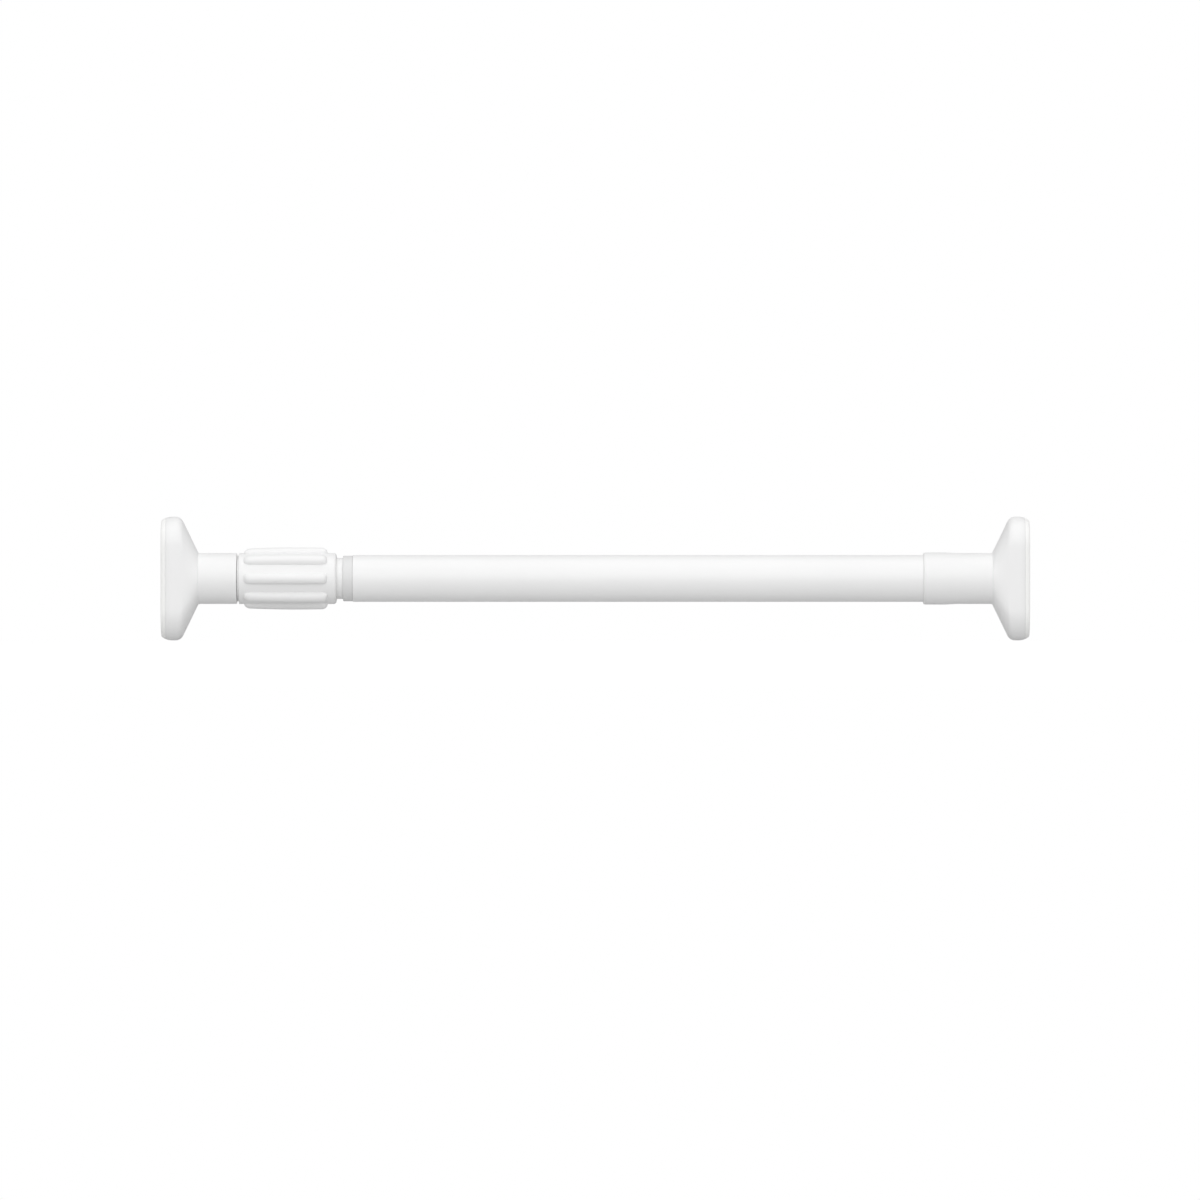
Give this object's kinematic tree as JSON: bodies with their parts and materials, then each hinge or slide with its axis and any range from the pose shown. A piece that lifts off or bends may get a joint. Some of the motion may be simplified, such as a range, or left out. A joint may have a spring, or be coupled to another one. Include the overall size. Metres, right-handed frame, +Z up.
{
  "type": "spring tension rod",
  "caption": "Telescopic white tension rod that clamps between two walls: upright oblong padded feet, a ribbed jack grip, a thin tube in a thick tube, a twist lock and an inner compression spring.",
  "frame": {"origin": "middle of the rod's length, on the tubes' axis", "axes": "+X along the rod from the jack foot to the fixed foot, +Z up, oblong feet upright along Z"},
  "size_m": [0.4644, 0.034, 0.0662],
  "materials": {
    "white_tube": "smooth white coating, satin gloss",
    "white_moulding": "white moulded plastic, satin",
    "soft_pad": "soft white elastomer, matt",
    "grey_bush": "natural light grey plastic",
    "inner_plastic": "natural acetal",
    "zinc_steel": "bright zinc plate",
    "spring_steel": "drawn spring wire",
    "nut_brass": "turned brass"
  },
  "bodies": {
    "outer_tube": {"outer_tube": "white_tube", "tube_end_bush": "grey_bush", "right_foot": "white_moulding", "right_foot_pad": "soft_pad", "right_tube_plug": "inner_plastic", "right_foot_screw": "zinc_steel"},
    "lock_sleeve": {"lock_sleeve": "inner_plastic"},
    "lock_cone": {"lock_cone": "inner_plastic"},
    "inner_tube": {"inner_tube": "white_tube", "jack_socket": "inner_plastic", "jack_spring": "spring_steel", "lock_plug": "inner_plastic", "lock_stud": "zinc_steel", "lock_stop_nut": "zinc_steel"},
    "thrust_sleeve": {"thrust_sleeve": "inner_plastic", "thrust_washer": "zinc_steel"},
    "twist_grip": {"twist_grip": "white_moulding", "grip_liner": "inner_plastic", "jack_nut": "nut_brass"},
    "left_foot": {"left_foot": "white_moulding", "left_foot_pad": "soft_pad", "jack_spindle": "zinc_steel", "left_foot_screw": "zinc_steel", "spindle_stop_ring": "spring_steel"}
  },
  "joints": [
    {"name": "telescope", "type": "slide", "parent": "outer_tube", "child": "lock_sleeve", "axis": [-1, 0, 0], "range_m": [0, 0.265]},
    {"name": "twist_lock", "type": "hinge", "parent": "lock_sleeve", "child": "inner_tube", "pos_m": [0, 0, 0], "axis": [1, 0, 0], "range_deg": [0, 360]},
    {"name": "cone_draw", "type": "slide", "parent": "lock_sleeve", "child": "lock_cone", "axis": [-1, 0, 0], "range_m": [0, 0.0013]},
    {"name": "spring_travel", "type": "slide", "parent": "inner_tube", "child": "thrust_sleeve", "axis": [1, 0, 0], "range_m": [0, 0.003], "stiffness_N_per_m": 4000, "deforming": ["jack_spring"]},
    {"name": "grip_turn", "type": "hinge", "parent": "thrust_sleeve", "child": "twist_grip", "pos_m": [0, 0, 0], "axis": [1, 0, 0], "range_deg": [0, 2396]},
    {"name": "jack", "type": "slide", "parent": "thrust_sleeve", "child": "left_foot", "axis": [-1, 0, 0], "range_m": [0, 0.02]}
  ],
  "couplings": [
    {"joint": "jack", "follows": "grip_turn", "m_per_rad": 0.00047746},
    {"joint": "cone_draw", "follows": "twist_lock", "m_per_rad": 0.00019894}
  ]
}
